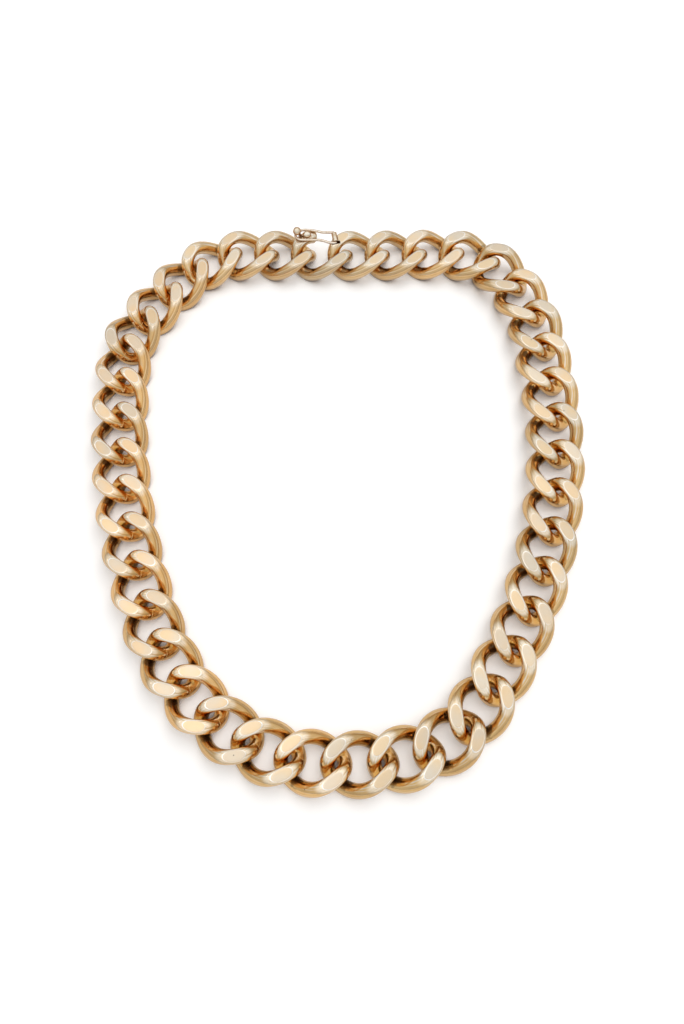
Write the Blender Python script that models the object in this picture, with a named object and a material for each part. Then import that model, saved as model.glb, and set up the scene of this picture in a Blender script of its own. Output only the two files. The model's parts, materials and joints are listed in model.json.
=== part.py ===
"""Curb chain necklace with a hook link and a hinged wire safety latch, lying closed on a table.

Metres, +Z up. Forty ground curb links run clockwise (seen from above) from the hook link, link_00.
Each link sits in its own frame: x along the chain, y outwards from the loop, z up.
"""

from math import cos, pi, radians, sin

import bmesh
import bpy
import numpy as np
from mathutils import Matrix, Vector

MM = 0.001

# Chain
LINKS = 40
PITCH = 11.3 * MM            # between the joints of one link
LINK_HALF_LENGTH = 7.8 * MM  # of the wire's centre line
LINK_HALF_WIDTH = 6.1 * MM
LINK_SQUARENESS = 2.3        # 2 is an ellipse, more is squarer
END_TWIST = radians(52)      # of each end about the link's long axis
WIRE = 3.7 * MM
THICKNESS = 7.3 * MM         # over the two ground faces
WIRE_STEPS = 16              # facets along a whole link

# How the loop lies on the table: (joints, degrees they turn clockwise between them), from the clasp on
LIE = ((3, -2), (1, 17), (1, 36), (2, 30), (2, 6), (8, 37), (2, 43), (2, 16), (3, 41),
       (2, 19), (6, 20), (1, 2), (1, 25), (1, 14), (1, 2), (2, 51), (2, 1))
FIRST_HEADING = radians(-5.6)
FRONT_LINK = 20            # held still; the loop's two halves hang on it

# Hook link: the wire is left open on the outer side, between these angles round the link
HOOK_STUB = radians(108)
HOOK_TIP = radians(360 + 42)

# Clasp furniture, in the hook link's frame
TUBE_AT = Vector((3.98, 4.0, 3.45)) * MM
TUBE_LENGTH = 3.3 * MM
TUBE_LEAN = radians(12)    # of the tube's axis from straight across the chain
TUBE_RADIUS = 0.75 * MM
TUBE_BORE = 0.47 * MM
LATCH_WIRE = 0.56 * MM
LATCH_STANDOFF = 0.35 * MM  # of the latch's sides from the tube's ends
LATCH_LIFT = 0.65 * MM     # of the latch's free end over the tube
LATCH_RISE = 1.6           # how early along the latch that lift is reached: 1 is at the very end
LATCH_OUTER_SIDE = ((2.6, 5.95), (0.2, 5.65), (-2.2, 6.2), (-4.2, 6.35))  # in mm, in plan
LATCH_INNER_SIDE = ((-4.2, 2.6), (-0.9, 2.85), (0.9, 2.55), (2.6, 1.95))
LATCH_END_AT = (-5.9, 4.45)  # its round end is half an ellipse about this point
LATCH_END_RADII = (2.2, 1.85)
LATCH_END_STEPS = 6
KEEPER_AT = Vector((-4.5, 4.35, 4.35)) * MM
KEEPER_RADIUS = 1.1 * MM
STUD_FOOT = Vector((-6.0, 4.0, 3.1)) * MM
STUD_BALL_AT = Vector((-7.4, 4.5, 5.75)) * MM
STUD_BALL_RADIUS = 1.15 * MM
STUD_NECK_RADIUS = 0.45 * MM
GAP = 0.08 * MM            # between pieces that are soldered together


def clear_scene():
    for obj in list(bpy.data.objects):
        bpy.data.objects.remove(obj, do_unlink=True)


def collection(name):
    made = bpy.data.collections.new(name)
    bpy.context.scene.collection.children.link(made)
    return made


def material(name, colour, roughness):
    made = bpy.data.materials.new(name)
    made.use_nodes = True
    shader = made.node_tree.nodes["Principled BSDF"]
    shader.inputs["Base Color"].default_value = (*colour, 1)
    shader.inputs["Metallic"].default_value = 1
    shader.inputs["Roughness"].default_value = roughness
    return made


def wire_point(angle):
    """The centre line of a link at an angle round it: a rounded loop, twisted about its long axis."""
    c, s = cos(angle), sin(angle)
    reach = (abs(c) ** LINK_SQUARENESS + abs(s) ** LINK_SQUARENESS) ** (-1 / LINK_SQUARENESS)
    x, across = LINK_HALF_LENGTH * c * reach, LINK_HALF_WIDTH * s * reach
    twist = -END_TWIST * x / LINK_HALF_LENGTH
    return Vector((x, across * cos(twist), across * sin(twist)))


def wire_mesh(name, points, radius, closed, resolution=2):
    """A round wire along points, as a mesh."""
    curve = bpy.data.curves.new(name, "CURVE")
    curve.dimensions = "3D"
    curve.bevel_depth = radius
    curve.bevel_resolution = resolution
    curve.use_fill_caps = not closed
    spline = curve.splines.new("POLY")
    spline.points.add(len(points) - 1)
    for place, point in zip(spline.points, points):
        place.co = (*point, 1)
    spline.use_cyclic_u = closed
    helper = bpy.data.objects.new(name, curve)
    bpy.context.scene.collection.objects.link(helper)
    mesh = bpy.data.meshes.new_from_object(helper.evaluated_get(bpy.context.evaluated_depsgraph_get()))
    bpy.data.objects.remove(helper)
    bpy.data.curves.remove(curve)
    bm = bmesh.new()
    bm.from_mesh(mesh)
    bmesh.ops.remove_doubles(bm, verts=bm.verts, dist=1e-6)
    bmesh.ops.recalc_face_normals(bm, faces=bm.faces)
    bm.to_mesh(mesh)
    bm.free()
    mesh.name = name
    return mesh


def grind_flat(mesh, thickness=THICKNESS):
    """Grinds a link's wire level on both sides."""
    bm = bmesh.new()
    bm.from_mesh(mesh)
    for side in (1, -1):
        bmesh.ops.bisect_plane(
            bm, geom=bm.verts[:] + bm.edges[:] + bm.faces[:], dist=1e-7,
            plane_co=(0, 0, side * thickness / 2), plane_no=(0, 0, side), clear_outer=True)
        bmesh.ops.holes_fill(bm, edges=[e for e in bm.edges if e.is_boundary])
    bmesh.ops.recalc_face_normals(bm, faces=bm.faces)
    bm.to_mesh(mesh)
    bm.free()
    return mesh


def cylinder_mesh(name, radius, length, segments):
    bm = bmesh.new()
    bmesh.ops.create_cone(bm, cap_ends=True, segments=segments, radius1=radius, radius2=radius, depth=length)
    mesh = bpy.data.meshes.new(name)
    bm.to_mesh(mesh)
    bm.free()
    return mesh


def ball_mesh(name, radius, rings=8):
    bm = bmesh.new()
    bmesh.ops.create_uvsphere(bm, u_segments=2 * rings, v_segments=rings, radius=radius)
    mesh = bpy.data.meshes.new(name)
    bm.to_mesh(mesh)
    bm.free()
    return mesh


def put(name, mesh, where, matrix=Matrix(), finish=None):
    obj = bpy.data.objects.new(name, mesh)
    where.objects.link(obj)
    obj.matrix_world = matrix
    if finish and not mesh.materials:
        mesh.materials.append(finish)
    return obj


def cutter(name, mesh, matrix):
    obj = put(name, mesh, CUTTERS, matrix)
    obj.hide_render = True
    obj.display_type = "WIRE"
    return obj


def boolean(obj, other, operation):
    change = obj.modifiers.new(other.name, "BOOLEAN")
    change.operation, change.object, change.solver = operation, other, "EXACT"


def empty(name, matrix):
    """A joint: a piece that turns is parented to it."""
    made = put(name, None, NECKLACE, matrix)
    made.empty_display_size = WIRE
    return made


def hang(child, parent):
    """Parents without moving the child."""
    bpy.context.view_layer.update()
    child.parent = parent
    child.matrix_parent_inverse = parent.matrix_world.inverted()


def closed_loop():
    """The joints in plan and each link's heading, with the turns in LIE eased until the loop closes."""
    turns = np.repeat([radians(total) / joints for joints, total in LIE], [joints for joints, _ in LIE])
    for _ in range(8):
        headings = FIRST_HEADING - np.concatenate([[0], np.cumsum(turns[:-1])])
        steps = PITCH * np.stack([np.cos(headings), np.sin(headings)], axis=1)
        slopes = np.zeros((3, LINKS))
        sideways = np.stack([steps[:, 1], -steps[:, 0]], axis=1)
        slopes[:2, :-1] = np.cumsum(sideways[::-1], axis=0)[::-1][1:].T
        slopes[2] = 1
        miss = [*steps.sum(axis=0), turns.sum() - 2 * pi]
        turns = turns - np.linalg.lstsq(slopes, miss, rcond=None)[0]
    joints = np.concatenate([[[0, 0]], np.cumsum(steps, axis=0)[:-1]])
    return joints, headings


def tube_matrix(hook):
    """The latch's hinge tube: its z axis runs across the chain."""
    across = Matrix.Rotation(TUBE_LEAN, 4, "Z") @ Matrix.Rotation(-pi / 2, 4, "X")
    return hook @ Matrix.Translation(TUBE_AT) @ across


def latch_points():
    """The latch's wire in the hook link's frame: through the tube, along both sides and round the end."""
    lean = Matrix.Rotation(TUBE_LEAN, 3, "Z")
    pin = [TUBE_AT + lean @ Vector((0, side * (TUBE_LENGTH / 2 + LATCH_STANDOFF), 0)) for side in (-1, 1)]
    bends = [pi / 2 + pi * step / LATCH_END_STEPS for step in range(LATCH_END_STEPS + 1)]
    end = [(LATCH_END_AT[0] + LATCH_END_RADII[0] * cos(a), LATCH_END_AT[1] + LATCH_END_RADII[1] * sin(a))
           for a in bends]
    plan = [(x * MM, y * MM) for x, y in (*LATCH_OUTER_SIDE, *end, *LATCH_INNER_SIDE)]
    reach = TUBE_AT.x - min(x for x, _ in plan)
    rise = [min(1, LATCH_RISE * (TUBE_AT.x - x) / reach) for x, _ in plan]
    return pin + [Vector((x, y, TUBE_AT.z + LATCH_LIFT * up)) for (x, y), up in zip(plan, rise)]


clear_scene()
NECKLACE = collection("necklace")
CUTTERS = collection("cutters")
GOLD = material("pale_gold", (0.86, 0.68, 0.44), 0.25)
LATCH_GOLD = material("latch_gold", (0.9, 0.7, 0.5), 0.2)

joints, headings = closed_loop()
middles = (joints + np.roll(joints, -1, axis=0)) / 2
around = [2 * pi * step / WIRE_STEPS for step in range(WIRE_STEPS)]
link_mesh = grind_flat(wire_mesh("curb_link", [wire_point(a) for a in around], WIRE / 2, True))
hook_steps = round((HOOK_TIP - HOOK_STUB) / (2 * pi) * WIRE_STEPS)
hook_angles = [HOOK_STUB + (HOOK_TIP - HOOK_STUB) * step / hook_steps for step in range(hook_steps + 1)]
hook_mesh = grind_flat(wire_mesh("hook_link", [wire_point(a) for a in hook_angles], WIRE / 2, False))

# Each link's frame, with the loop centred on the origin and its lower ground faces at height 0
corners = []
for number, (middle, heading) in enumerate(zip(middles, headings)):
    turn = Matrix.Rotation(heading, 3, "Z")
    corners += [turn @ v.co + Vector((*middle, 0)) for v in (link_mesh if number else hook_mesh).vertices]
centre = [(min(c[i] for c in corners) + max(c[i] for c in corners)) / 2 for i in (0, 1)]
frames = []
for middle, heading in zip(middles, headings):
    place = Vector((*(middle - centre), THICKNESS / 2))
    frames.append(Matrix.Translation(place) @ Matrix.Rotation(heading, 4, "Z"))

links = []
for number, frame in enumerate(frames):
    links.append(put(f"link_{number:02d}", link_mesh if number else hook_mesh, NECKLACE, frame, GOLD))
hook, tube_link = links[0], links[1]
hook_frame = frames[0]
tube_frame = tube_matrix(hook_frame)

# Hinge tube, let into the shoulder of the link after the hook, which also leaves the latch its room
seat_mesh = cylinder_mesh("tube_seat", TUBE_RADIUS + GAP, TUBE_LENGTH + 2 * GAP, 16)
seat = cutter("tube_seat", seat_mesh, tube_frame)
latch_room = cutter("latch_room", wire_mesh("latch_room", latch_points(), LATCH_WIRE / 2 + 2 * GAP, True),
                    hook_frame)
boolean(tube_link, seat, "DIFFERENCE")
boolean(tube_link, latch_room, "DIFFERENCE")
tube_mesh = cylinder_mesh("clasp_tube", TUBE_RADIUS, TUBE_LENGTH, 16)
tube = put("clasp_tube", tube_mesh, NECKLACE, tube_frame, GOLD)
bore = cutter("tube_bore", cylinder_mesh("tube_bore", TUBE_BORE, 2 * TUBE_LENGTH, 12), tube_frame)
boolean(tube, bore, "DIFFERENCE")

# Latch, turning in the tube
latch_mesh = wire_mesh("clasp_latch", latch_points(), LATCH_WIRE / 2, True)
latch = put("clasp_latch", latch_mesh, NECKLACE, hook_frame, LATCH_GOLD)

# Keeper bead and ball stud, seated on the ground face of the hook link's stub
grown_wire = wire_mesh("stub_room", [wire_point(a) for a in around], WIRE / 2 + GAP, True)
stub_room = cutter("stub_room", grind_flat(grown_wire, THICKNESS + 2 * GAP), hook_frame)
keeper = put("clasp_keeper", ball_mesh("clasp_keeper", KEEPER_RADIUS), NECKLACE,
             hook_frame @ Matrix.Translation(KEEPER_AT), GOLD)
stud = put("clasp_stud", ball_mesh("clasp_stud", STUD_BALL_RADIUS), NECKLACE,
           hook_frame @ Matrix.Translation(STUD_BALL_AT), GOLD)
lean = STUD_BALL_AT - STUD_FOOT
along_neck = lean.to_track_quat("Z", "Y").to_matrix().to_4x4()
neck_frame = hook_frame @ Matrix.Translation((STUD_BALL_AT + STUD_FOOT) / 2) @ along_neck
neck = cutter("stud_neck", cylinder_mesh("stud_neck", STUD_NECK_RADIUS, lean.length, 10), neck_frame)
boolean(stud, neck, "UNION")
for piece in (keeper, stud):
    boolean(piece, stub_room, "DIFFERENCE")

# Each link hangs on an empty at its joint; the two halves of the loop start at the front link
pivots = {FRONT_LINK: links[FRONT_LINK]}
for number in [*range(FRONT_LINK - 1, 0, -1), *range(FRONT_LINK + 1, LINKS), 0]:
    on_right = 0 < number < FRONT_LINK
    parent, joint = (number + 1, number + 1) if on_right else ((number - 1) % LINKS, number)
    place = Matrix.Translation((*(joints[joint] - centre), THICKNESS / 2))
    heading = (headings[number] + headings[parent]) / 2
    pivot = empty(f"joint_{number:02d}", place @ Matrix.Rotation(heading, 4, "Z"))
    hang(pivot, pivots[parent])
    hang(links[number], pivot)
    pivots[number] = pivot
hinge = empty("joint_latch", tube_frame)
for piece in (tube, hinge, seat, latch_room):
    hang(piece, tube_link)
hang(bore, tube)
hang(latch, hinge)
for piece in (keeper, stud, stub_room, neck):
    hang(piece, hook)
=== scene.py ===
"""Looks of the curb chain necklace: ground gold links, the open hook link and its wire safety latch.

Metres, +Z up. A link is built in its own frame: x along the chain, y outwards from the loop, z up.
"""

import json
from math import atan2, cos, pi, radians, sin, sqrt

import bmesh
import bpy
import numpy as np
from mathutils import Matrix, Vector


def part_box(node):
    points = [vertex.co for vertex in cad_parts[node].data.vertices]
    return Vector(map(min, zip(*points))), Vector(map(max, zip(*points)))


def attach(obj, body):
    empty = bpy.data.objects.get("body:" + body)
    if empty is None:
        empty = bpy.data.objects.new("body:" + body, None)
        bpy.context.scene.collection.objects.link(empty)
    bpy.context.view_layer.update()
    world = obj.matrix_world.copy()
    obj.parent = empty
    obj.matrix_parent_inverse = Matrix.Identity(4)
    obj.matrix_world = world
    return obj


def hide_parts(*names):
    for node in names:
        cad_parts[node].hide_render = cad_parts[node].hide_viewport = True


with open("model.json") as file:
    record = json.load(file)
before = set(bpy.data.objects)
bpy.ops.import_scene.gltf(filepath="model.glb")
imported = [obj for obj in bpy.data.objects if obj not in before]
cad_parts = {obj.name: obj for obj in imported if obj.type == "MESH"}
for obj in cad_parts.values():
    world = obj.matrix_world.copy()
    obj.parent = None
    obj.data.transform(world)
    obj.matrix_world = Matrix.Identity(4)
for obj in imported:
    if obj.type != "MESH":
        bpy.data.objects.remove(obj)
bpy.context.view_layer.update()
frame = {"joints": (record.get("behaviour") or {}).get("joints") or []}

MM = 0.001

# Links
LINKS = 40
LINK_HALF_LENGTH = 7.8       # of the wire's centre line, in mm like all lengths up to the camera's
LINK_HALF_WIDTH = 6.1
LINK_SQUARENESS = 2.3
END_TWIST = radians(52)
WIRE_RADIUS = 1.845
HALF_THICKNESS = 3.65
RINGS = 132                  # cross-sections round a whole link
FLAT_STEPS = 10              # facets across a ground face, closest together at its rim
SIDE_STEPS = 14              # facets down a side
RIM_ROUNDING = 0.55          # how softly a ground face meets the wire
SMALLEST_FLAT = 0.12         # half-angle kept for the flat's facets where the wire isn't ground
SEAM_GROOVE = 0.16           # depth of the soldered joint round the wire
SEAM_HALF_ANGLE = 0.014      # half the groove's width, as an angle round the link
SEAM_STEP = 0.05             # how far the wire's two ends miss each other
SEAM_FADE = 0.6              # the angle round the link over which that step fades

# Hook link
HOOK_STUB = radians(108)
HOOK_TIP = radians(402)
STUB_END = ((0, 0.84), (0.1, 0.93), (0.24, 0.985), (0.45, 1.0))   # (depth, share of the wire's radius)
TIP_LENGTH = 1.5             # of the rounded tip
TIP_STEPS = 8

# Clasp furniture; places are in the hook link's frame
TUBE_LENGTH = 3.3
TUBE_RADIUS = 0.82
TUBE_BORE = 0.47
LATCH_WIRE = 0.74
LATCH_STANDOFF = 0.35
LATCH_LIFT = 0.65
LATCH_RISE = 1.6
LATCH_SWING = 1.3            # radius of the recesses that the latch's arms turn in
LATCH_OUTER_SIDE = ((2.6, 5.95), (0.2, 5.65), (-2.2, 6.2), (-4.2, 6.35))
LATCH_INNER_SIDE = ((-4.2, 2.6), (-0.9, 2.85), (0.9, 2.55), (2.6, 1.95))
LATCH_END_AT = (-5.9, 4.45)
LATCH_END_RADII = (2.2, 1.85)
LATCH_END_STEPS = 6
KEEPER_RADIUS = 1.1
KEEPER_STRETCH = (1.2, 0.95)         # along the chain and across it
STUD_FOOT = Vector((-6.0, 4.0, 3.35))
STUD_BALL_AT = Vector((-7.4, 4.5, 5.75))
STUD_BALL_RADIUS = 1.2
STUD_NECK_RADIUS = 0.45
STUD_ROOT = 0.3              # how far its foot reaches into the link
GAP = 0.08                   # between soldered pieces
NOT_GROUND = -1.6            # depth given to pieces with no ground face

# Camera and light, in metres
CAMERA_AT = Vector((-0.00038, -0.08617, 0.20326))
CAMERA_TILT = radians(20.72)
CAMERA_ROLL = radians(-4.14)
CAMERA_YAW = radians(-0.187)
CAMERA_LENS = 27.9           # mm, on a 36 mm sensor
HORIZON, OVERHEAD = 0.5, 0.88        # how bright the room looks in the metal
# Soft lights that only the metal mirrors: direction, power (the higher, the narrower) and strength
SOFTBOXES = (((-0.22, 0.12, 0.97), 60, 0.5), ((0.32, 0.40, 0.86), 60, 0.08),
             ((0.1, 0.3, 0.9), 60, 0.25), ((-0.5, 0.35, 0.7), 900, 1.5), ((0, 0.03, 1), 150, -0.3))
SKYLIGHT = ((0.3, 0.22, 1), 8, 2.8)  # the broad light on the table, as in SOFTBOXES
ROOM_LIGHT = 0.44                    # what reaches the table from all round
KEY_AT = Vector((0.45, 0.40, 0.75))

# Colours
WARM_FACE = (0.93, 0.72, 0.47)
COOL_FACE = (0.84, 0.73, 0.58)
# near black: for painted shade deep in the crevices, for the dark spots inside the limbs and for pits
SHADE_AND_PIT_BLACK = (0.035, 0.02, 0.01)
DARK_SPOT_AT = (3.7, 4.2, -0.7)       # the black spot low inside each limb, in the link's frame, mm
GOLD_SHADE = (0.13, 0.05, 0.01)      # what the table turns to close under the metal
MIRRORED_TABLE = 0.7                 # how bright the table looks in the metal
DARKEST_LINK, TONE_SPREAD = 0.88, 0.18
WARMTH_SPREAD, LEFT_RUN_WARMTH = 0.05, 0.06
TARNISH_AND_SHADE_AT_CLASP = 0.4               # it is full at the front


# ---------------------------------------------------------------- mesh helpers

def mesh_from(name, points, faces, cut=None, drawn=None):
    """A smooth mesh with points in mm.

    cut says how deep each point lies in a ground face; drawn is the place that its streaks are read from.
    """
    mesh = bpy.data.meshes.new(name)
    mesh.from_pydata([Vector(p) * MM for p in points], [], faces)
    layer = mesh.attributes.new("cut", "FLOAT", "POINT")
    layer.data.foreach_set("value", np.full(len(points), NOT_GROUND) if cut is None else np.array(cut))
    layer = mesh.attributes.new("drawn", "FLOAT_VECTOR", "POINT")
    layer.data.foreach_set("vector", np.array(points if drawn is None else drawn, float).ravel())
    bm = bmesh.new()
    bm.from_mesh(mesh)
    bmesh.ops.remove_doubles(bm, verts=bm.verts, dist=1e-8)
    bmesh.ops.recalc_face_normals(bm, faces=bm.faces)
    bm.to_mesh(mesh)
    bm.free()
    mesh.shade_smooth()
    return mesh


def skin(rings, closed):
    """Faces of a tube whose cross-sections all have the same number of points."""
    count, around = len(rings), len(rings[0])
    faces = []
    for i in range(count if closed else count - 1):
        for j in range(around):
            here, there = i * around, (i + 1) % count * around
            faces.append((here + j, here + (j + 1) % around, there + (j + 1) % around, there + j))
    if not closed:
        faces.append(tuple(reversed(range(around))))
        faces.append(tuple(range((count - 1) * around, count * around)))
    return faces


def spaced(start, end, steps):
    """Angles from start to just before end, closest together at both ends."""
    return [start + (end - start) * (1 - cos(pi * k / steps)) / 2 for k in range(steps)]


def soft_min(a, b, softness):
    """The lesser of a and b, rounded over where they are nearly equal."""
    share = min(1, max(0, 0.5 + 0.5 * (b - a) / softness))
    return b + (a - b) * share - softness * share * (1 - share)


def put(name, mesh, matrix, body, finish, slot, *nodes):
    """A piece in place on its body, standing for CAD nodes."""
    obj = bpy.data.objects.new(name, mesh)
    bpy.context.scene.collection.objects.link(obj)
    obj.matrix_world = matrix
    if not mesh.materials:
        mesh.materials.append(finish)
    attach(obj, body)
    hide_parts(*nodes)
    return obj


# ---------------------------------------------------------------- the links' wire

def wire_point(angle):
    """The centre line of a link at an angle round it: a rounded loop, twisted about its long axis."""
    c, s = cos(angle), sin(angle)
    reach = (abs(c) ** LINK_SQUARENESS + abs(s) ** LINK_SQUARENESS) ** (-1 / LINK_SQUARENESS)
    x, across = LINK_HALF_LENGTH * c * reach, LINK_HALF_WIDTH * s * reach
    twist = -END_TWIST * x / LINK_HALF_LENGTH
    return Vector((x, across * cos(twist), across * sin(twist)))


def section(angle, radius):
    """The ground wire's outline at an angle round the link, with the values that mesh_from stores."""
    centre = wire_point(angle)
    along = (wire_point(angle + 0.002) - wire_point(angle - 0.002)).normalized()
    up = (Vector((0, 0, 1)) - along.z * along).normalized()
    side = up.cross(along)
    room = [(HALF_THICKNESS - centre.z) / up.z, (HALF_THICKNESS + centre.z) / up.z]
    half = [max(SMALLEST_FLAT, float(np.arccos(np.clip(r / radius, -0.9, 1)))) for r in room]
    turns = (spaced(-half[0], half[0], FLAT_STEPS) + spaced(half[0], pi - half[1], SIDE_STEPS)
             + spaced(pi - half[1], pi + half[1], FLAT_STEPS)
             + spaced(pi + half[1], 2 * pi - half[0], SIDE_STEPS))
    points, cut, drawn = [], [], []
    for turn in turns:
        high, wide = radius * cos(turn), radius * sin(turn)
        cut.append(max(high - room[0], -high - room[1]))
        drawn.append((3 * cos(turn), 3 * sin(turn), 0.5 * cos(angle) + 0.4 * sin(angle)))
        high = soft_min(high, room[0], RIM_ROUNDING)
        high = -soft_min(-high, room[1], RIM_ROUNDING)
        points.append(centre + high * up + wide * side)
    return points, cut, drawn


def skinned(name, stations, closed):
    """The ground wire through (angle, radius) stations."""
    rings, cut, drawn = [], [], []
    for angle, radius in stations:
        points, depths, streaks = section(angle, radius)
        rings.append(points)
        cut += depths
        drawn += streaks
    return mesh_from(name, sum(rings, []), skin(rings, closed), cut, drawn)


def link_mesh():
    """A whole link, with its soldered seam across the middle of the trailing end."""
    angles = [2 * pi * k / RINGS for k in range(RINGS)]
    near = 2.6 * SEAM_HALF_ANGLE
    angles = [a for a in angles if abs(a - pi) > near]
    angles += [pi + SEAM_HALF_ANGLE * k for k in (-2.5, -1.5, -1, -0.4, 0, 0.4, 1, 1.5, 2.5)]
    stations = []
    for angle in sorted(angles):
        off = abs(angle - pi) / SEAM_HALF_ANGLE
        radius = WIRE_RADIUS - SEAM_GROOVE * max(0, 1 - off) ** 0.7
        if 0 < angle - pi < SEAM_FADE:
            radius -= SEAM_STEP * (1 - (angle - pi) / SEAM_FADE)
        stations.append((angle, radius))
    return skinned("curb_link", stations, True)


def hook_mesh():
    """The hook link: the wire is open on the outer side, with a filed stub end and a rounded tip."""
    def angle_at(depth, from_tip):
        """The angle that lies a depth along the wire from one of its ends."""
        angle, way = (HOOK_TIP, -1) if from_tip else (HOOK_STUB, 1)
        left = depth
        while left > 1e-6:
            step = (wire_point(angle + way * 0.001) - wire_point(angle)).length
            share = min(1, left / step)
            angle, left = angle + way * 0.001 * share, left - step * share
        return angle

    stations = [(angle_at(depth, False), share) for depth, share in STUB_END]
    tip = []
    for k in range(TIP_STEPS):
        slope = pi / 2 * (k + 0.35) / (TIP_STEPS + 0.35)
        tip.append((angle_at(TIP_LENGTH * (1 - sin(slope)), True), cos(slope) ** 0.8))
    first, last = stations[-1][0], min(a for a, _ in tip)
    steps = int(RINGS * (last - first) / (2 * pi))
    stations += [(first + (last - first) * k / steps, 1.0) for k in range(1, steps)]
    stations += sorted(tip)
    return skinned("hook_link", [(angle, WIRE_RADIUS * share) for angle, share in stations], False)


# ---------------------------------------------------------------- clasp furniture

def turned(name, profile, steps=40):
    """A closed turned shape about z from (radius, height) points; the ends lie on the axis or meet."""
    points = [(r * cos(2 * pi * k / steps), r * sin(2 * pi * k / steps), z)
              for k in range(steps) for r, z in profile]
    around = len(profile)
    faces = []
    for k in range(steps):
        here, there = k * around, (k + 1) % steps * around
        faces += [(here + j, there + j, there + j + 1, here + j + 1) for j in range(around - 1)]
    return mesh_from(name, points, faces)


def arc(centre, radius, start, end, steps):
    """Points of a circular arc in a turned profile."""
    return [(centre[0] + radius * cos(a), centre[1] + radius * sin(a))
            for a in (start + (end - start) * k / steps for k in range(steps + 1))]


def tube_profile():
    """The hinge tube, its mouths eased inside and out."""
    ease, half = 0.09, TUBE_LENGTH / 2
    right = arc((TUBE_BORE + ease, half - ease), ease, pi, pi / 2, 4)
    right += arc((TUBE_RADIUS - ease, half - ease), ease, pi / 2, 0, 4)
    return right + [(r, -z) for r, z in reversed(right)] + right[:1]


def bead_profile():
    """The keeper: a bead with a slight flat on top and a solder fillet round its foot."""
    r = KEEPER_RADIUS
    foot = -0.62 * r
    fillet = arc((1.06 * r, foot + 0.28 * r), 0.28 * r, pi, 1.5 * pi, 5)
    return ([(0, 0.97 * r), (0.2 * r, 0.965 * r)] + arc((0, 0), r, radians(72), radians(-20), 16)
            + [(0.8 * r, -0.5 * r)] + fillet[2:] + [(0, foot)])


def stud_profile(length):
    """The ball stud: a flared foot at height 0, a thin neck and the ball at the top."""
    foot, neck = 2.1 * STUD_NECK_RADIUS, STUD_NECK_RADIUS
    r = STUD_BALL_RADIUS
    flare = arc((foot, neck), foot - neck, 1.5 * pi, pi, 6)
    collar = sqrt(r * r - neck * neck)
    ball = arc((0, length), r, -atan2(collar, neck), pi / 2, 24)
    root, top = [(0, -STUD_ROOT), (foot, -STUD_ROOT)], [(0, length + r)]
    return root + flare + [(neck, length - collar - 0.06)] + ball[1:-1] + top


def latch_points():
    """The latch's bends in the hook link's frame: through the tube, along both sides and round the end."""
    tube = tube_frame_in_hook()
    at, across = tube.translation, tube.to_3x3() @ Vector((0, 0, 1))
    pins = [at + across * side * (TUBE_LENGTH / 2 + LATCH_STANDOFF) * out
            for side, out in ((1, 1), (1, 0.8), (-1, 0.8), (-1, 1))]
    if pins[0].y > pins[-1].y:
        pins.reverse()
    bends = [pi / 2 + pi * k / LATCH_END_STEPS for k in range(LATCH_END_STEPS + 1)]
    end = [(LATCH_END_AT[0] + LATCH_END_RADII[0] * cos(a), LATCH_END_AT[1] + LATCH_END_RADII[1] * sin(a))
           for a in bends]
    plan = [*LATCH_OUTER_SIDE, *end, *LATCH_INNER_SIDE]
    reach = at.x - min(x for x, _ in plan)
    rise = [min(1, LATCH_RISE * (at.x - x) / reach) for x, _ in plan]
    return pins + [Vector((x, y, at.z + LATCH_LIFT * up)) for (x, y), up in zip(plan, rise)]


def rounded_loop(points, rounds=3):
    """Cuts the corners of a closed line again and again, which leaves its straights straight."""
    for _ in range(rounds):
        following = points[1:] + points[:1]
        points = [p for a, b in zip(points, following) for p in (a.lerp(b, 0.25), a.lerp(b, 0.75))]
    return points


def wire_loop(name, points, radius, around=20):
    """A round wire along a closed line, carried round without twisting."""
    count = len(points)
    side = None
    rings = []
    for k, point in enumerate(points):
        along = (points[(k + 1) % count] - points[k - 1]).normalized()
        side = side or along.orthogonal()
        side = (side - side.dot(along) * along).normalized()
        other = along.cross(side)
        rings.append([point + radius * (cos(a) * side + sin(a) * other)
                      for a in (2 * pi * j / around for j in range(around))])
    return mesh_from(name, sum(rings, []), skin(rings, True))


# ---------------------------------------------------------------- where things are

def link_frames():
    """Each link's frame, from the joints on both sides of it and, by the clasp, from link_01's box."""
    starts = {}
    for joint in frame["joints"]:
        if joint["name"] == "clasp_latch":
            continue
        child = int(joint["name"].split("_")[1])
        before_child = child == 0 or child > LINKS // 2
        starts[child if before_child else child + 1] = Vector(joint["pos_m"][:2])
    low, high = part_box("link_01")
    middle = ((low + high) / 2).to_2d()
    starts[1] = 2 * middle - starts[2]
    frames = []
    for number in range(LINKS):
        a, b = starts[number], starts[(number + 1) % LINKS]
        place = Vector(((a.x + b.x) / 2, (a.y + b.y) / 2, HALF_THICKNESS * MM))
        heading = atan2(b.y - a.y, b.x - a.x)
        frames.append(Matrix.Translation(place) @ Matrix.Rotation(heading, 4, "Z"))
    return frames


def tube_frame():
    """The latch's hinge: its z axis is the hinge's."""
    hinge = next(j for j in frame["joints"] if j["name"] == "clasp_latch")
    turn = Vector(hinge["axis"]).to_track_quat("Z", "Y").to_matrix().to_4x4()
    return Matrix.Translation(hinge["pos_m"]) @ turn


def tube_frame_in_hook():
    """The same in the hook link's frame, in mm."""
    local = HOOK.inverted() @ tube_frame()
    local.translation = local.translation / MM
    return local


# ---------------------------------------------------------------- materials

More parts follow.
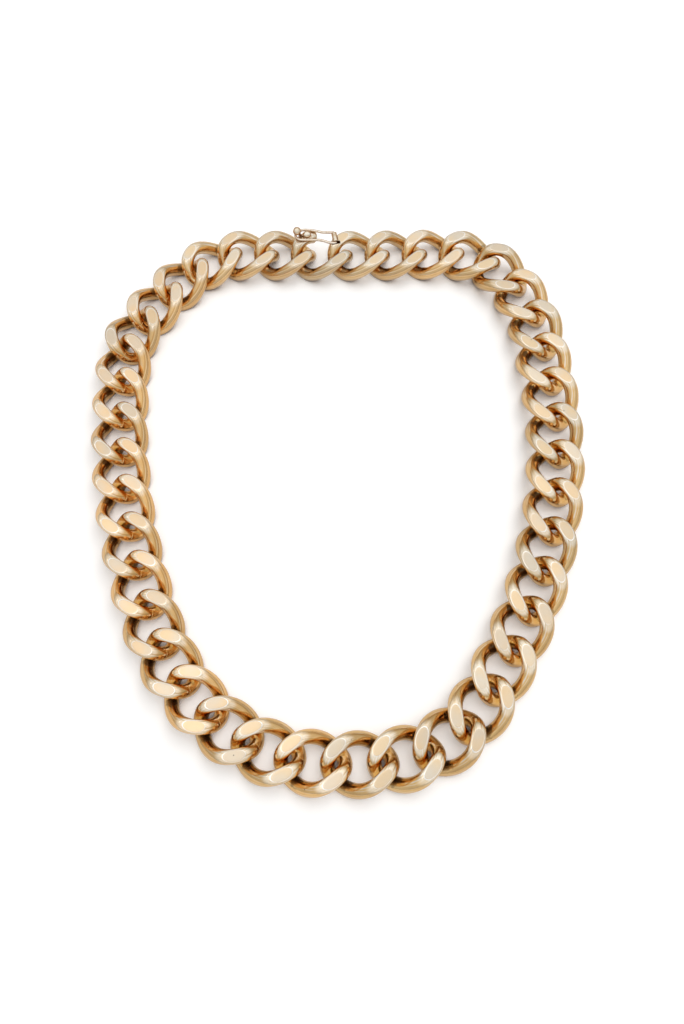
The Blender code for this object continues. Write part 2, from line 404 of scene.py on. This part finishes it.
class Nodes:
    """A material's node tree, built by short calls."""

    def __init__(self, name):
        self.material = bpy.data.materials.new(name)
        self.material.use_nodes = True
        self.tree = self.material.node_tree
        self.shader = self.tree.nodes["Principled BSDF"]

    @classmethod
    def of(cls, tree, shader):
        """The same calls on another node tree."""
        made = cls.__new__(cls)
        made.tree, made.shader = tree, tree.nodes[shader]
        return made

    def set(self, socket, value):
        """Links or sets an input."""
        if isinstance(value, bpy.types.NodeSocket):
            self.tree.links.new(value, socket)
        elif isinstance(value, (tuple, list)) and socket.type == "RGBA":
            socket.default_value = (*value[:3], 1)
        else:
            socket.default_value = value

    def node(self, kind, output=0, inputs=None, **settings):
        made = self.tree.nodes.new("ShaderNode" + kind)
        for key, value in settings.items():
            setattr(made, key, value)
        for key, value in (inputs or {}).items():
            self.set(made.inputs[key], value)
        return made.outputs[output]

    def math(self, operation, a, b):
        return self.node("Math", inputs={0: a, 1: b}, operation=operation)

    def ramp(self, value, low, high, to_low=0.0, to_high=1.0):
        """Maps low..high to to_low..to_high, eased, and flat outside."""
        return self.node("MapRange", inputs={0: value, 1: low, 2: high, 3: to_low, 4: to_high},
                         interpolation_type="SMOOTHSTEP")

    def mix(self, share, a, b, blend="MIX"):
        made = self.tree.nodes.new("ShaderNodeMix")
        made.data_type, made.blend_type = "RGBA", blend
        for index, value in ((0, share), (6, a), (7, b)):
            self.set(made.inputs[index], value)
        return made.outputs[2]

    def noise(self, place, scale, detail=3.0, roughness=0.5):
        return self.node("TexNoise", inputs={"Vector": place, "Scale": scale, "Detail": detail,
                                             "Roughness": roughness})


def gold(name, colour, worn, bright, deep, satin=0.27, polished=0.13, patina_and_shade=1.0, edge_shade=0.0):
    """Worn gold plate: satin ground faces whose rims get a painted highlight, polished sides with painted
    highlight and dark reflection streaks, and a deep colour in the crevices that is partly tarnishing,
    partly painted shade.

    deep is that colour, patina_and_shade how much of it there is, and edge_shade how far painted shade
    turns the surfaces seen at a grazing angle toward deep.
    """
    n = Nodes(name)
    local = n.node("TexCoord", 3)
    info = n.tree.nodes.new("ShaderNodeObjectInfo")
    chance = info.outputs["Random"]
    tone = info.outputs["Color"]
    tarnish_and_shade = info.outputs["Alpha"]
    shift = n.node("CombineXYZ", inputs={0: chance, 1: chance, 2: chance})
    place = n.node("VectorMath", inputs={0: local, 1: shift}, operation="ADD")
    cut = n.node("Attribute", 2, attribute_name="cut")
    drawn = n.node("Attribute", 1, attribute_name="drawn")

    flat = n.ramp(cut, 0.40, 0.50)
    # rim: the soft band round each ground face, which gets a painted highlight further down
    rim = n.math("MULTIPLY", n.ramp(cut, 0.26, 0.38), n.ramp(cut, 0.41, 0.46, 1.0, 0.0))
    rim = n.math("MULTIPLY", rim, n.ramp(n.noise(place, 160, 2), 0.35, 0.6, 0.25, 1.0))
    shoulder = n.ramp(cut, -1.1, 0.1)

    cloud = n.noise(place, 240, 3)
    blotch = n.noise(place, 420, 4, 0.6)
    streak = n.node("Mix", inputs={0: flat, 2: n.noise(drawn, 1.5, 4, 0.6), 3: 0.5})
    fine = n.noise(place, 9000, 2, 0.6)
    side = n.mix(n.ramp(cloud, 0.3, 0.7), colour, [c * k for c, k in zip(colour, (0.92, 0.88, 0.82))])
    side = n.mix(n.math("MULTIPLY", shoulder, n.ramp(cloud, 0.25, 0.6, 0.55, 0.95)), side, worn)
    side = n.mix(n.ramp(tarnish_and_shade, 0.2, 1.0, 0.45, 0.0), side, worn)
    # painted reflections along the sides: dark stripes and near-white highlight stripes that follow the
    # wire's streaks
    dark_reflection = [c * k for c, k in zip(colour, (0.7, 0.6, 0.45))]
    side = n.mix(n.ramp(streak, 0.5, 0.68, 0.0, 0.75), side, dark_reflection)
    side = n.mix(n.ramp(streak, 0.32, 0.46, 0.6, 0.0), side, bright)
    face = n.mix(n.ramp(n.noise(place, 90, 2), 0.38, 0.62), WARM_FACE, COOL_FACE)
    face = n.mix(n.ramp(blotch, 0.35, 0.7, 0.0, 0.12), face, colour)
    base = n.mix(1.0, n.mix(flat, side, face), tone, "MULTIPLY")

    # partly tarnishing, partly painted shade and painted gold-on-gold reflection: deep where the metal is
    # closed in
    crevice = n.node("AmbientOcclusion", 1, {"Distance": 2.6 * MM}, samples=6)
    shade = n.ramp(crevice, 0.25, 0.9, 1.0, 0.0)
    shade = n.math("MULTIPLY", shade, n.ramp(flat, 0.0, 1.0, patina_and_shade, 0.25 * patina_and_shade))
    shade = n.math("MULTIPLY", n.math("MULTIPLY", shade, n.ramp(blotch, 0.25, 0.6, 0.75, 1.0)), tarnish_and_shade)
    base = n.mix(shade, base, deep)
    # painted shade: near black deep in the crevices, where the metal is most closed in
    black = n.math("MULTIPLY", n.ramp(crevice, 0.1, 0.34, 1.0, 0.0), n.ramp(blotch, 0.3, 0.55))
    # a near-black spot fixed low inside each limb, stronger where the metal is more closed in
    ragged = n.ramp(n.noise(place, 700, 4, 0.7), 0.3, 0.7, -0.7 * MM, 0.7 * MM)
    for x, y, z in (DARK_SPOT_AT, (-DARK_SPOT_AT[0], -DARK_SPOT_AT[1], DARK_SPOT_AT[2])):
        away = n.node("VectorMath", 1, {0: local, 1: Vector((x, y, z)) * MM}, operation="DISTANCE")
        spot = n.ramp(n.math("ADD", away, ragged), 1.3 * MM, 1.9 * MM, 1.0, 0.0)
        black = n.math("MAXIMUM", black, n.math("MULTIPLY", spot, n.ramp(crevice, 0.6, 1.0, 1.0, 0.4)))
    black = n.math("MULTIPLY", n.math("MULTIPLY", black, patina_and_shade), tarnish_and_shade)
    base = n.mix(black, base, SHADE_AND_PIT_BLACK)
    # painted highlight: the rims of the ground faces turned near white
    base = n.mix(rim, base, bright)
    # painted shade: surfaces seen at a grazing angle turn toward deep, mostly on the clasp
    edge = n.node("LayerWeight", 1, {"Blend": 0.5})
    base = n.mix(n.ramp(edge, 0.15, 0.55, 0.0, edge_shade), base, deep)

    specks = n.node("TexVoronoi", 0, {"Vector": place, "Scale": 420.0}, feature="F1")
    pitted = n.ramp(n.noise(place, 150, 1), 0.58, 0.62)
    pits = n.math("MULTIPLY", n.ramp(specks, 0.03, 0.085, 1.0, 0.0), pitted)
    base = n.mix(pits, base, SHADE_AND_PIT_BLACK)

    roughness = n.node("Mix", inputs={0: flat, 2: polished, 3: satin})
    roughness = n.math("ADD", roughness, n.ramp(streak, 0.3, 0.7, -0.04, 0.05))
    roughness = n.math("ADD", roughness, n.math("MULTIPLY", black, 0.3))
    roughness = n.node("Mix", inputs={0: rim, 2: roughness, 3: 0.12})

    height = n.math("ADD", n.math("MULTIPLY", streak, 6.0), n.math("MULTIPLY", fine, 0.4))
    height = n.math("SUBTRACT", height, n.math("MULTIPLY", pits, 3.0))
    bump = n.node("Bump", inputs={"Height": height, "Strength": 0.3, "Distance": 0.00001})
    n.set(n.shader.inputs["Base Color"], base)
    n.set(n.shader.inputs["Metallic"], 1.0)
    n.set(n.shader.inputs["Roughness"], roughness)
    n.set(n.shader.inputs["Normal"], bump)
    return n.material


def table_top():
    """A matt white table with painted shade where the chain closes it in, dimmer still as the metal
    mirrors it, and with a faint painted glow of its own that fades where that shade falls.
    """
    n = Nodes("white_table")
    place = n.node("TexCoord", 3)
    open_sky = n.node("AmbientOcclusion", 1, {"Distance": 3.2 * MM}, samples=6)
    open_sky = n.ramp(open_sky, 0.2, 0.5)
    mirrored = n.tree.nodes.new("ShaderNodeLightPath").outputs["Is Glossy Ray"]
    light = n.math("MULTIPLY", open_sky, n.ramp(mirrored, 0, 1, 1.0, MIRRORED_TABLE))
    tint = n.mix(n.noise(place, 30, 4), (0.90, 0.90, 0.90), (0.92, 0.918, 0.915))
    n.set(n.shader.inputs["Base Color"], n.mix(light, GOLD_SHADE, tint))
    n.set(n.shader.inputs["Roughness"], 0.85)
    n.set(n.shader.inputs["Specular IOR Level"], 0.0)
    # painted glow: the table gives off a little light of its own, less where the painted shade falls
    n.set(n.shader.inputs["Emission Color"], (1, 0.995, 0.985))
    n.set(n.shader.inputs["Emission Strength"], n.math("MULTIPLY", light, 0.2))
    n.set(n.shader.inputs["Normal"], n.node("Bump", inputs={"Height": n.noise(place, 900, 3),
                                                            "Strength": 0.05, "Distance": 0.0001}))
    return n.material


# ---------------------------------------------------------------- building

FRAMES = link_frames()
HOOK = FRAMES[0]


def body_of(number):
    return {0: "hook_link", 1: "latch_link"}.get(number, f"link_{number:02d}")


def golden(number):
    """An even, repeatable spread of values from 0 to 1."""
    return (number * 0.6180339887) % 1


def build_chain(finish):
    """All the links, each with its own tone, warmer along the left run as painted light,
    and, in the colour's alpha, its own share of tarnishing and painted shade.
    """
    whole, hook = link_mesh(), hook_mesh()
    made = []
    for number in range(LINKS):
        mesh = hook if number == 0 else whole.copy() if number == 1 else whole
        obj = put(f"curb_{number:02d}", mesh, FRAMES[number], body_of(number), finish, "chain",
                  f"link_{number:02d}")
        light = DARKEST_LINK + TONE_SPREAD * golden(number)
        # painted light: the left run's links tinted warmer, as that side mirrors less of the white light
        left_run = max(0, -sin(2 * pi * number / LINKS))
        warm = WARMTH_SPREAD * (golden(number * 7) - 0.5) + LEFT_RUN_WARMTH * left_run
        tarnish_and_shade = TARNISH_AND_SHADE_AT_CLASP + (1 - TARNISH_AND_SHADE_AT_CLASP) * sqrt(sin(pi * number / LINKS))
        obj.color = (light * (1 + warm), light, light * (1 - warm), tarnish_and_shade)
        made.append(obj)
    return made


def cut_away(obj, name, mesh, matrix):
    """Cuts a shape out of a piece's own mesh."""
    helper = bpy.data.objects.new(name, mesh)
    bpy.context.scene.collection.objects.link(helper)
    helper.matrix_world = matrix
    change = obj.modifiers.new(name, "BOOLEAN")
    change.operation, change.object, change.solver = "DIFFERENCE", helper, "MANIFOLD"
    bpy.context.view_layer.update()
    result = bpy.data.meshes.new_from_object(obj.evaluated_get(bpy.context.evaluated_depsgraph_get()))
    obj.modifiers.clear()
    obj.data = result
    bpy.data.objects.remove(helper)
    obj.data.shade_smooth()
    obj.data.set_sharp_from_angle(angle=radians(40))


def disc_profile(radius, low, high):
    """A plain disc about z, between two heights."""
    return [(0, low), (radius, low), (radius, high), (0, high)]


def make_room_for_clasp(link, tube_at, bends):
    """Cuts the tube's seat, the latch's room at rest and the recesses that its arms turn in."""
    half = TUBE_LENGTH / 2 + GAP
    cut_away(link, "seat", turned("seat", disc_profile(TUBE_RADIUS + GAP, -half, half), 32), tube_at)
    arm, room = TUBE_LENGTH / 2 + LATCH_STANDOFF, LATCH_WIRE / 2 + 2 * GAP
    cut_away(link, "latch_room", wire_loop("latch_room", bends, room), HOOK)
    for middle in (-arm, arm):
        swing = turned("latch_swing", disc_profile(LATCH_SWING, middle - room, middle + room), 48)
        cut_away(link, "latch_swing", swing, tube_at)


def build_clasp(links, finish, latch_finish):
    tube_at = tube_frame()
    bends = rounded_loop(latch_points())
    make_room_for_clasp(links[1], tube_at, bends)
    put("hinge_tube", turned("hinge_tube", tube_profile()), tube_at, "latch_link", finish, "clasp",
        "clasp_tube")
    put("wire_latch", wire_loop("wire_latch", bends, LATCH_WIRE / 2), HOOK, "latch", latch_finish, "latch",
        "clasp_latch")
    low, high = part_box("clasp_keeper")
    middle = (low + high) / 2
    keeper_at = (Matrix.Translation((middle.x, middle.y, high.z - KEEPER_RADIUS * MM))
                 @ HOOK.to_3x3().to_4x4() @ Matrix.Diagonal((*KEEPER_STRETCH, 1, 1)))
    put("keeper_bead", turned("keeper_bead", bead_profile()), keeper_at, "hook_link", finish, "clasp",
        "clasp_keeper")
    lean = STUD_BALL_AT - STUD_FOOT
    along = lean.to_track_quat("Z", "Y").to_matrix().to_4x4()
    stud_at = HOOK @ Matrix.Translation(STUD_FOOT * MM) @ along
    put("ball_stud", turned("ball_stud", stud_profile(lean.length)), stud_at, "hook_link", finish, "clasp",
        "clasp_stud")


def build_table(finish):
    bm = bmesh.new()
    bmesh.ops.create_grid(bm, x_segments=2, y_segments=2, size=4)
    mesh = bpy.data.meshes.new("table_top")
    bm.to_mesh(mesh)
    bm.free()
    mesh.materials.append(finish)
    table = bpy.data.objects.new("table_top", mesh)
    bpy.context.scene.collection.objects.link(table)
    table.location.z = -0.00002


def key_light():
    """A small warm lamp over the table, which the metal doesn't mirror."""
    data = bpy.data.lights.new("key", "AREA")
    data.shape, data.size, data.energy, data.color = "DISK", 0.4, 0.5, (1, 0.98, 0.95)
    lamp = bpy.data.objects.new("key", data)
    bpy.context.scene.collection.objects.link(lamp)
    lamp.location = KEY_AT
    lamp.visible_glossy = False
    lamp.rotation_euler = (-KEY_AT).to_track_quat("-Z", "Y").to_euler()


def lobe(n, way, direction, power, strength):
    """A soft round light in the surroundings, the narrower the higher its power."""
    toward = n.node("VectorMath", 1, {0: way, 1: Vector(direction).normalized()}, operation="DOT_PRODUCT")
    return n.math("MULTIPLY", n.math("POWER", n.math("MAXIMUM", toward, 0.0), power), strength)


def build_light():
    """A white room with a broad light overhead, upper right; metal sees it with more contrast."""
    world = bpy.data.worlds.new("studio")
    bpy.context.scene.world = world
    world.use_nodes = True
    n = Nodes.of(world.node_tree, "Background")
    way = n.node("TexCoord", 0)
    height = n.node("SeparateXYZ", 2, {0: way})
    on_table = n.math("ADD", lobe(n, way, *SKYLIGHT), ROOM_LIGHT)
    metal = n.ramp(height, 0.0, 0.85, HORIZON, OVERHEAD)
    for direction, power, strength in SOFTBOXES:
        metal = n.math("ADD", metal, lobe(n, way, direction, power, strength))
    ray = n.tree.nodes.new("ShaderNodeLightPath")
    seen = n.node("Mix", inputs={0: ray.outputs["Is Glossy Ray"], 2: on_table, 3: metal})
    seen = n.node("Mix", inputs={0: ray.outputs["Is Camera Ray"], 2: seen, 3: 1.0})
    n.set(n.shader.inputs["Color"], (1, 1, 1))
    n.set(n.shader.inputs["Strength"], seen)
    key_light()


def build_camera():
    data = bpy.data.cameras.new("camera")
    data.lens, data.sensor_width, data.sensor_fit = CAMERA_LENS, 36, "AUTO"
    data.clip_start = 0.005
    camera = bpy.data.objects.new("camera", data)
    bpy.context.scene.collection.objects.link(camera)
    camera.matrix_world = (Matrix.Translation(CAMERA_AT) @ Matrix.Rotation(CAMERA_YAW, 4, "Z")
                           @ Matrix.Rotation(CAMERA_TILT, 4, "X") @ Matrix.Rotation(CAMERA_ROLL, 4, "Z"))
    bpy.context.scene.camera = camera


PALE_WORN = (0.92, 0.81, 0.64)
# the near-white colour of the painted highlights on the rims and in the side streaks
HIGHLIGHT_WHITE = (0.98, 0.95, 0.89)
CHAIN_GOLD = gold("chain_gold", (0.88, 0.60, 0.28), PALE_WORN, HIGHLIGHT_WHITE, (0.86, 0.42, 0.05))
CLASP_GOLD = gold("clasp_gold", (1.0, 0.92, 0.78), PALE_WORN, HIGHLIGHT_WHITE, (0.60, 0.33, 0.12),
                  polished=0.12, patina_and_shade=0.5, edge_shade=0.95)
LATCH_GOLD = gold("latch_gold", (1.0, 0.90, 0.78), PALE_WORN, HIGHLIGHT_WHITE, (0.60, 0.33, 0.14),
                  polished=0.12, patina_and_shade=0.5, edge_shade=0.9)
chain = build_chain(CHAIN_GOLD)
build_clasp(chain, CLASP_GOLD, LATCH_GOLD)
build_table(table_top())
build_light()
build_camera()
bpy.context.scene.view_settings.view_transform = "Standard"
